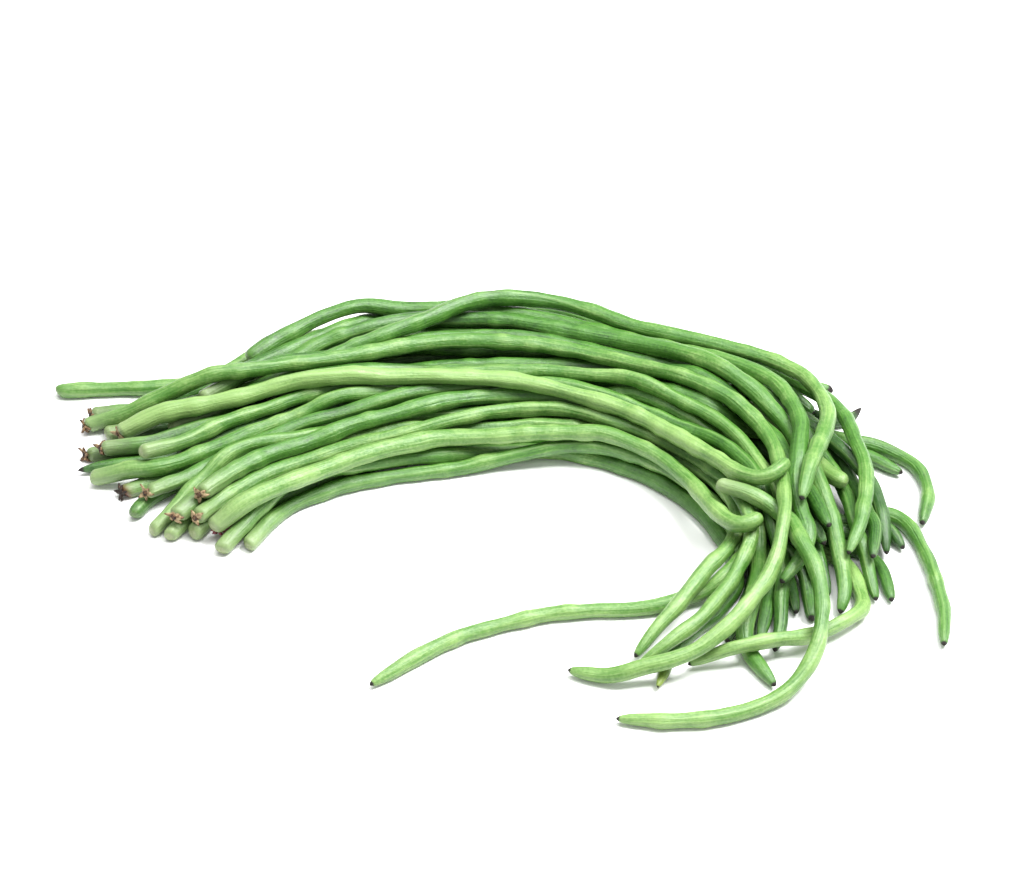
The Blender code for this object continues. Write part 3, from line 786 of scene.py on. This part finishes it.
@dataclass
class Calyx:
    """The dried flower remains on a stem end: a ring of pointed sepals round a short stub.

    Attributes:
        lobes: how many sepals there are.
        length: a sepal's length.
        width: half its width at the widest.
        thickness: half its thickness.
        flare: how far the sepals spread outwards rather than onwards, from 0 to 1.
        crumple: how much each sepal differs from the next.
        lightness: 0 is almost black and 1 straw-coloured.
        rise: how far in front of the pod's end the sepals start.
        inset: how far from the middle they start.
        rings: rings in a sepal.
        sides: points round a ring of it.
    """

    lobes: int = 5
    length: float = 0.0045
    width: float = 0.0019
    thickness: float = 0.0006
    flare: float = 1.0
    crumple: float = 0.22
    lightness: float = 0.66
    rise: float = 0.0009
    inset: float = 0.0008
    rings: int = 7
    sides: int = 6

    def lobe(self, angle: float, reach: float, draw: np.random.Generator) -> Grid:
        """One sepal, in the stem end's own directions (ahead is out of the pod, along +X).

        A leaf of half width w (sin pi u)^0.7 (1 - u / 2) is carried along a path that turns from
        outwards to onwards: place(u) = start + length (ahead(u), outwards(u)).

        Args:
            angle: where round the stem end it stands, in radians.
            reach: how far from the middle it starts.
            draw: the source of its differences.

        Returns:
            The sepal's surface.
        """
        length = self.length * draw.uniform(1 - self.crumple, 1 + self.crumple)
        turn = draw.uniform(-0.5, 1.6) * self.crumple * 3
        flare = self.flare * draw.uniform(0.65, 1.1) * math.pi / 2
        u = np.linspace(0.02, 0.98, self.rings)
        lean = flare + turn * u
        ahead = np.concatenate([[0], np.cumsum(np.cos(lean)[1:])]) / self.rings * length
        out = np.concatenate([[0], np.cumsum(np.sin(lean)[1:])]) / self.rings * length
        sway = draw.uniform(-0.25, 0.25) * length * u**2
        radial = np.array([0.0, math.cos(angle), math.sin(angle)])
        across = np.array([0.0, -math.sin(angle), math.cos(angle)])
        onward = np.array([1.0, 0.0, 0.0])
        line = (reach + out)[:, None] * radial + ahead[:, None] * onward + sway[:, None] * across
        thick_way = np.cos(lean)[:, None] * radial - np.sin(lean)[:, None] * onward
        half = self.width * (np.sin(np.pi * (0.16 + 0.82 * u)) ** 0.7) * (1 - 0.5 * u)
        round_ = np.linspace(0, 2 * np.pi, self.sides, endpoint=False)
        wide = half[:, None, None] * np.cos(round_)[None, :, None] * across
        thin = self.thickness * np.sin(round_)[None, :, None] * thick_way[:, None, :]
        places = line[:, None, :] + wide + thin
        return Grid(places, line[[0, -1]])

    def stub(self) -> Grid:
        """The short stub of the stalk in the middle.

        It starts 2 mm thick a way inside the pod's end, and narrows to a rounded end in front.

        Returns:
            The stub's surface.
        """
        x = np.array([-self.rise - 0.0013, 0.0004, 0.0009, 0.0011])
        radius = np.array([0.0020, 0.0015, 0.0011, 0.0006])
        sides = 8
        round_ = np.linspace(0, 2 * np.pi, sides, endpoint=False)
        ring = np.stack([np.zeros(sides), np.cos(round_), np.sin(round_)], axis=1)
        places = radius[:, None, None] * ring + x[:, None, None] * np.array([1.0, 0, 0])
        return Grid(places, np.array([[x[0], 0, 0], [x[-1] + 0.0001, 0, 0]]))

    def grids(self, draw: np.random.Generator) -> list[Grid]:
        """All the surfaces of the remains.

        Args:
            draw: the source of their differences.

        Returns:
            The sepals and the stub.
        """
        start = draw.uniform(0, 2 * np.pi)
        angles = start + np.arange(self.lobes) * 2 * np.pi / self.lobes
        angles = angles + draw.uniform(-0.4, 0.4, self.lobes)
        return [self.stub()] + [self.lobe(float(a), self.inset, draw) for a in angles]


CALYXES: dict[StemEnd, Calyx] = {
    StemEnd.STAR: Calyx(lobes=6, width=0.0016, crumple=0.34, thickness=0.0004),
    StemEnd.TUFT: Calyx(
        lobes=7, length=0.0046, width=0.0016, flare=0.9, crumple=0.42, lightness=0.48
    ),
    StemEnd.MAROON: Calyx(
        lobes=5, length=0.0034, width=0.0016, flare=0.7, lightness=0.3, rise=0.0034
    ),
    StemEnd.RUST: Calyx(lobes=6, length=0.0044, width=0.0014, flare=0.8, lightness=0.22),
}


@dataclass
class Pod:
    """One pod: its skin over seeds, its stem end and its tip.

    Attributes:
        name: the CAD node that it stands for.
        look: its shade and ends.
        seed: the seed of its own differences.
        sides: points round its skin.
        step: spacing of its rings.
        seed_gap: nearest and farthest distance between two seeds.
        seed_rise: how far a seed swells the pod, as a share of its half thickness.
        sway: how far the line wanders off to the side.
        dome: length of the rounding at the stem end.
        point: half the length of the rounding at the tip.
        green_taper: how many times longer the rounding of a bare green end is.
        bare: depth of the stem end within which the thickness stays even and the cut slants.
        calm: distance from either end within which swellings and bends fade out.
        thinning: distance over which a thin tip narrows.
        calyx_lean: how the dried remains turn from the pod's own direction.
    """

    name: str
    look: PodLook
    seed: int
    sides: int = 30
    step: float = 0.0017
    seed_gap: tuple[float, float] = (0.010, 0.022)
    seed_rise: tuple[float, float] = (0.03, 0.15)
    sway: float = 0.00055
    dome: float = 0.0034
    point: float = 0.0012
    green_taper: float = 1.9
    bare: float = 0.006
    calm: float = 0.02
    thinning: float = 0.008
    calyx_lean: tuple[float, float, float] = (0.0, -0.40, 0.38)

    def __post_init__(self) -> None:
        """Starts the pod's own random numbers."""
        self.draw = np.random.default_rng(self.seed)

    def wander(self, marks: np.ndarray, gap: float) -> np.ndarray:
        """Smooth random values along the pod, about -1 to 1.

        Args:
            marks: distances along the pod.
            gap: distance between two random values.

        Returns:
            A value at each mark, eased between the random ones.
        """
        count = int(marks[-1] / gap) + 3
        knots = self.draw.uniform(-1, 1, count)
        place = marks / gap + 0.5
        low = place.astype(int)
        t = place - low
        t = t * t * (3 - 2 * t)
        return knots[low] * (1 - t) + knots[low + 1] * t

    def swellings(self, marks: np.ndarray, whole: float, angle: np.ndarray) -> np.ndarray:
        """How far the seeds swell the pod, as a share of its half thickness.

        A seed at s_k, on the side b_k, adds a_k exp(-((s - s_k) / w_k)^2) (1 + 0.6 cos(a - b_k)).

        Args:
            marks: distances along the pod.
            whole: the pod's length.
            angle: angles round the pod.

        Returns:
            The swelling at each mark and angle.
        """
        gaps = self.draw.uniform(*self.seed_gap, int(whole / self.seed_gap[0]))
        seeds = np.cumsum(gaps)
        seeds = seeds[seeds < whole - 0.018]
        rise = self.draw.uniform(*self.seed_rise, len(seeds))
        width = self.draw.uniform(0.0036, 0.0070, len(seeds))
        sides = self.draw.uniform(0, 2 * np.pi, len(seeds))
        each = rise * np.exp(-(((marks[:, None] - seeds) / width) ** 2))
        return each @ (1 + 0.6 * np.cos(angle[None, :] - sides[:, None]))

    def stations(self, whole: float) -> np.ndarray:
        """Distances of the rings: even along the pod, and close together at its two ends.

        Args:
            whole: the pod's length.

        Returns:
            The distances, from the stem end on.
        """
        ease = np.sin(np.linspace(0, np.pi / 2, 8)[1:]) ** 2
        stem = self.stem_dome * ease
        tip = whole - self.point * 2.0 * ease[::-1]
        body = np.linspace(stem[-1], tip[0], int((tip[0] - stem[-1]) / self.step) + 1)
        return np.concatenate([stem, body[1:-1], tip])

    @property
    def stem_dome(self) -> float:
        """Length of the rounding at the stem end: a bare green end tapers more."""
        return self.dome * (self.green_taper if self.look.stem is StemEnd.GREEN else 1.0)

    def end_shares(self, marks: np.ndarray, whole: float) -> np.ndarray:
        """Share of the full thickness that the two rounded ends leave.

        Towards an end of length d the share is (1 - (1 - s / d)^p)^(1 / p), with s from the end.

        Args:
            marks: distances along the pod.
            whole: the pod's length.

        Returns:
            The share at each mark.
        """
        stem = 1 - np.clip(marks / self.stem_dome, 0, 1)
        tip = 1 - np.clip((whole - marks) / (self.point * 2.0), 0, 1)
        return (1 - stem**2.4) ** (1 / 2.4) * np.sqrt(1 - tip**2)

    def skin(self, line: Line) -> tuple[Grid, dict[str, np.ndarray]]:
        """The pod's skin, as a function of the distance s along it and the angle a round it.

        place(s, a) = centre(s) + r(s) q(s, a) (cos a side(s) + sin a up(s)), where r holds the
        thickness, the seeds and the rounded ends, and q the section: slightly oval, with a raised
        seam on two sides and faint lengthwise ribs.

        Args:
            line: the pod's line.

        Returns:
            The surface, and the numbers that its finish reads.
        """
        whole = float(line.along[-1])
        marks = self.stations(whole)
        body = line.at(np.clip(marks, self.bare, whole)).radii
        angle = np.linspace(0, 2 * np.pi, self.sides, endpoint=False)
        calm = np.clip(np.minimum(marks, whole - marks) / self.calm, 0, 1)
        bumps = self.swellings(marks, whole, angle) * calm[:, None]
        radii = body * self.end_shares(marks, whole)
        radii *= 1 + 0.045 * self.wander(marks, 0.022) + 0.02 * self.wander(marks, 0.009)
        if self.look.tip in (Tip.DARK_THIN, Tip.DARK_LONG, Tip.YELLOW_POINT):
            radii *= 1 - 0.5 * np.exp(-(whole - marks) / self.thinning)
        points = line.at(marks).points
        ahead, side, up = upright_frames(points)
        off_side = self.wander(marks, 0.030) + 0.6 * self.wander(marks, 0.013)
        off_side = self.sway * off_side * calm
        off_up = 0.5 * self.sway * self.wander(marks, 0.034) * calm
        points = points + off_side[:, None] * side + np.maximum(off_up, 0)[:, None] * up
        seam = self.draw.uniform(0, 2 * np.pi) + 1.3 * self.wander(marks, 0.11)
        turn = angle[None, :] - seam[:, None]
        ridge = np.exp(-((np.sin(turn) / 0.22) ** 2))
        ridge = ridge - 0.75 * np.exp(-(((np.abs(np.sin(turn)) - 0.48) / 0.18) ** 2))
        ribs = np.cos(5 * turn + 2 * self.wander(marks, 0.06)[:, None])
        section = 0.965 + 0.035 * np.cos(2 * turn) + 0.034 * ridge + 0.008 * ribs + bumps
        section = section + 0.04 * np.cos(turn * 3 + 2.2) * self.wander(marks, 0.014)[:, None]
        cosine, sine = np.cos(angle)[None, :, None], np.sin(angle)[None, :, None]
        ways = cosine * side[:, None] + sine * up[:, None]
        reach = radii[:, None] * section
        places = points[:, None] + reach[:, :, None] * ways
        slant = self.draw.uniform(-0.35, 0.35, 2)
        near = np.clip(1 - marks / self.bare, 0, 1)[:, None]
        cut = reach * near * (slant[0] * np.cos(angle) + slant[1] * np.sin(angle))[None, :]
        places += cut[:, :, None] * ahead[:, None, :]
        places[:, :, 2] = np.maximum(places[:, :, 2], LOWEST)
        ends = line.at(np.array([0.0, whole])).points
        ends[:, 2] = np.maximum(ends[:, 2], LOWEST)
        return Grid(places, ends), self.skin_marks(marks, whole, angle, bumps, ridge)

    def skin_marks(
        self,
        marks: np.ndarray,
        whole: float,
        angle: np.ndarray,
        bumps: np.ndarray,
        ridge: np.ndarray,
    ) -> dict[str, np.ndarray]:
        """The numbers that the skin's finish reads at each point.

        Args:
            marks: distances of the rings.
            whole: the pod's length.
            angle: angles of the points round a ring.
            bumps: the seeds' swelling at each point.
            ridge: 1 on a seam and below 0 in the furrows beside it.

        Returns:
            Attribute name and its values, ring by ring and then at the two poles.
        """
        from_tip = whole - marks
        stem, tip = self.look.stem, self.look.tip
        blank = np.zeros_like(marks)
        fade = np.exp(-((marks / 0.014) ** 1.3))
        pale = {StemEnd.PALE: 0.75, StemEnd.GREEN: 0.10}.get(stem, 0.6) * fade
        blush = np.exp(-((marks / 0.0045) ** 2)) * 0.95 if stem is StemEnd.MAROON else blank
        rusty = np.exp(-((marks / 0.0030) ** 2)) if stem is StemEnd.RUST else blank
        bare = {StemEnd.PALE: 0.9, StemEnd.GREEN: 0.2}.get(stem, 0.0)
        rim = np.exp(-(((marks - 0.0007) / 0.0006) ** 2)) * (0.4 + 0.2 * bare)
        cut = np.clip(1.6 - marks / 0.0003, 0, 1) * bare
        reach = {
            Tip.DARK_POINT: 0.0015,
            Tip.DARK_BLUNT: 0.0026,
            Tip.GREEN_BLUNT: 0.0004,
            Tip.YELLOW_POINT: 0.0008,
            Tip.DARK_THIN: 0.0030,
            Tip.DARK_LONG: 0.0085,
        }[tip]
        dark = np.clip(1.5 - from_tip / reach, 0, 1)
        yellow = np.exp(-((from_tip / 0.012) ** 2)) if tip is Tip.YELLOW_POINT else blank
        # Painted shade and light: the pod runs from its stem-end value to its far-end value,
        # which are set darker for pods lying in shade and lighter for lit ones. The wander adds a
        # random tone.
        far = (marks / whole) ** 2
        tone = self.look.tone * (1 - far) + self.look.far_tone_and_shade * far
        tone = tone + 0.12 * self.wander(marks, 0.07)
        columns = {
            "tone": tone,
            "pale": pale,
            "rim": rim,
            "cut": cut,
            "blush": blush,
            "rusty": rusty,
            "dark": dark,
            "yellow": yellow,
        }
        spread = np.ones(len(angle))
        made = {key: np.outer(values, spread).ravel() for key, values in columns.items()}
        made["seam"] = ridge.ravel()
        made["swell"] = np.clip(bumps / 0.13, 0, 1).ravel()
        grain = np.stack(
            [
                np.outer(marks * 38, spread),
                np.outer(np.ones_like(marks), 1.6 * np.cos(angle)),
                np.outer(np.ones_like(marks), 1.6 * np.sin(angle)),
            ],
            axis=-1,
        )
        made["grain"] = grain.reshape(-1, 3) + self.seed * 7.3
        made["fibre"] = (grain * np.array([0.28, 2.0, 2.0])).reshape(-1, 3) + self.seed * 3.1
        return {key: np.concatenate([v, v[:1], v[-1:]]) for key, v in made.items()}

    def calyx(self, line: Line) -> list[Grid]:
        """The dried remains on the stem end, put in place.

        Args:
            line: the pod's line.

        Returns:
            Their surfaces, or none for a bare end.
        """
        if self.look.stem not in CALYXES:
            return []
        near = line.at(np.array([0.0, 0.004])).points
        out = near[0] - near[1]
        out = out / np.linalg.norm(out) + np.array(self.calyx_lean)
        out /= np.linalg.norm(out)
        side = np.cross([0.0, 0.0, 1.0], out)
        side /= np.linalg.norm(side)
        turn = np.stack([out, side, np.cross(out, side)])
        remains = CALYXES[self.look.stem]
        made = []
        for grid in remains.grids(self.draw):
            places = grid.places @ turn + near[0] + out * remains.rise
            poles = grid.poles @ turn + near[0] + out * remains.rise
            places[:, :, 2] = np.maximum(places[:, :, 2], 2 * LOWEST)
            poles[:, 2] = np.maximum(poles[:, 2], 2 * LOWEST)
            made.append(Grid(places, poles))
        return made

    def build(self, node: bpy.types.Object, skin: Any, dried: Any) -> bpy.types.Object:
        """Makes the pod's piece and puts it in place of its CAD node.

        Args:
            node: the CAD node's object.
            skin: the skin's material.
            dried: the dried remains' material.

        Returns:
            The piece.
        """
        line = SolidReader().read(node)
        parts = MeshParts()
        grid, marks = self.skin(line)
        parts.add(grid, 0, marks)
        for index, remains in enumerate(self.calyx(line)):
            count = len(remains.vertices())
            blank = {key: np.zeros((count, *v.shape[1:])) for key, v in marks.items()}
            lightness = CALYXES[self.look.stem].lightness
            rows = len(remains.places)
            u = np.linspace(0, 1, rows)
            # The stub is given a darker tone all over. Each sepal is painted lighter along its
            # middle and darker towards its base and tip, as painted highlight and shade.
            shade = -0.3 * np.ones(rows) if index == 0 else 0.22 * np.sin(np.pi * u) - 0.16
            round_ = np.repeat(shade, remains.places.shape[1])
            blank["tone"] = lightness + np.concatenate([round_, shade[:1], shade[-1:]])
            fresh = self.look.stem is StemEnd.MAROON
            blank["blush"] += float(fresh)
            parts.add(remains, 0 if fresh else 1, blank)
        piece = parts.build("fine_" + self.name, [skin, dried])
        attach(piece, BODY)
        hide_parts(self.name)
        return piece


@dataclass
class Bunch:
    """All the pods."""

    first_seed: int = 301

    def build(self) -> None:
        """Makes every pod and reports it."""
        skin, dried = PodSkin().make(), DriedCalyx().make()
        for index, name in enumerate(sorted(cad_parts)):
            look = LOOKS.get(name, PodLook(0.5))
            pod = Pod(name, look, self.first_seed + index)
            piece = pod.build(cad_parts[name], skin, dried)
            LOG.info("%s: %d faces", piece.name, len(piece.data.polygons))


# ---- Studio ----


@dataclass
class Studio:
    """The floor, the lights and the camera.

    Attributes:
        target: the point that the camera looks at.
        distance: how far the camera is from it.
        elevation: how steeply the camera looks down, in degrees.
        lens: the camera's focal length, in millimetres.
        floor_size: half the floor's width.
        sky_strength: brightness of the light from all around.
        key: place, size and power of the light from the upper right.
        top: place, size and power of the light from overhead.
    """

    target: tuple[float, float, float] = (0.0159, 0.0243, 0.015)
    distance: float = 1.2089
    elevation: float = 40.0
    lens: float = 85.0
    floor_size: float = 6.0
    sky_strength: float = 0.58
    key: tuple[Sequence[float], float, float] = ((0.80, 0.15, 1.60), 0.8, 66.0)
    top: tuple[Sequence[float], float, float] = ((-0.2, 0.2, 1.8), 1.2, 26.0)

    def floor(self) -> None:
        """Lays a flat pale floor under the bunch."""
        half = self.floor_size
        corners = [(-half, -half, 0), (half, -half, 0), (half, half, 0), (-half, half, 0)]
        mesh = bpy.data.meshes.new("floor")
        mesh.from_pydata(corners, [], [(0, 1, 2, 3)])
        mesh.materials.append(PaleFloor().make())
        made = bpy.data.objects.new("floor", mesh)
        bpy.context.scene.collection.objects.link(made)

    def light(self, name: str, place: Sequence[float], size: float, power: float) -> None:
        """Adds a square soft light that faces the bunch.

        Args:
            name: the light's name.
            place: where it hangs.
            size: its width.
            power: its power in watts.
        """
        data = bpy.data.lights.new(name, "AREA")
        data.shape = "SQUARE"
        data.size, data.energy = size, power
        made = bpy.data.objects.new(name, data)
        made.location = place
        made.rotation_mode = "QUATERNION"
        away = Vector(place) - Vector(self.target)
        made.rotation_quaternion = away.to_track_quat("Z", "Y")
        bpy.context.scene.collection.objects.link(made)

    def sky(self, strength: float) -> None:
        """Lights everything evenly from all around.

        Args:
            strength: the world's brightness.
        """
        world = bpy.data.worlds.new("studio")
        world.use_nodes = True
        backdrop = world.node_tree.nodes["Background"]
        backdrop.inputs["Color"].default_value = (1.0, 1.0, 1.0, 1.0)
        backdrop.inputs["Strength"].default_value = strength
        bpy.context.scene.world = world

    def camera(self) -> None:
        """Sets the camera in front of the bunch, looking down on it."""
        data = bpy.data.cameras.new("camera")
        data.lens, data.sensor_width = self.lens, 36.0
        lean = math.radians(self.elevation)
        back = Vector((0.0, -math.cos(lean), math.sin(lean)))
        made = bpy.data.objects.new("camera", data)
        made.location = Vector(self.target) + back * self.distance
        made.rotation_mode = "QUATERNION"
        made.rotation_quaternion = back.to_track_quat("Z", "Y")
        bpy.context.scene.collection.objects.link(made)
        bpy.context.scene.camera = made

    def build(self) -> None:
        """Sets up the whole studio."""
        self.floor()
        self.sky(self.sky_strength)
        self.light("key", *self.key)
        self.light("top", *self.top)
        self.camera()
        bpy.context.scene.view_settings.view_transform = "Standard"


def main() -> None:
    """Builds the bunch and the studio."""
    logging.basicConfig(level=logging.INFO, format="%(message)s")
    Bunch().build()
    Studio().build()


if __name__ == "__main__":
    main()
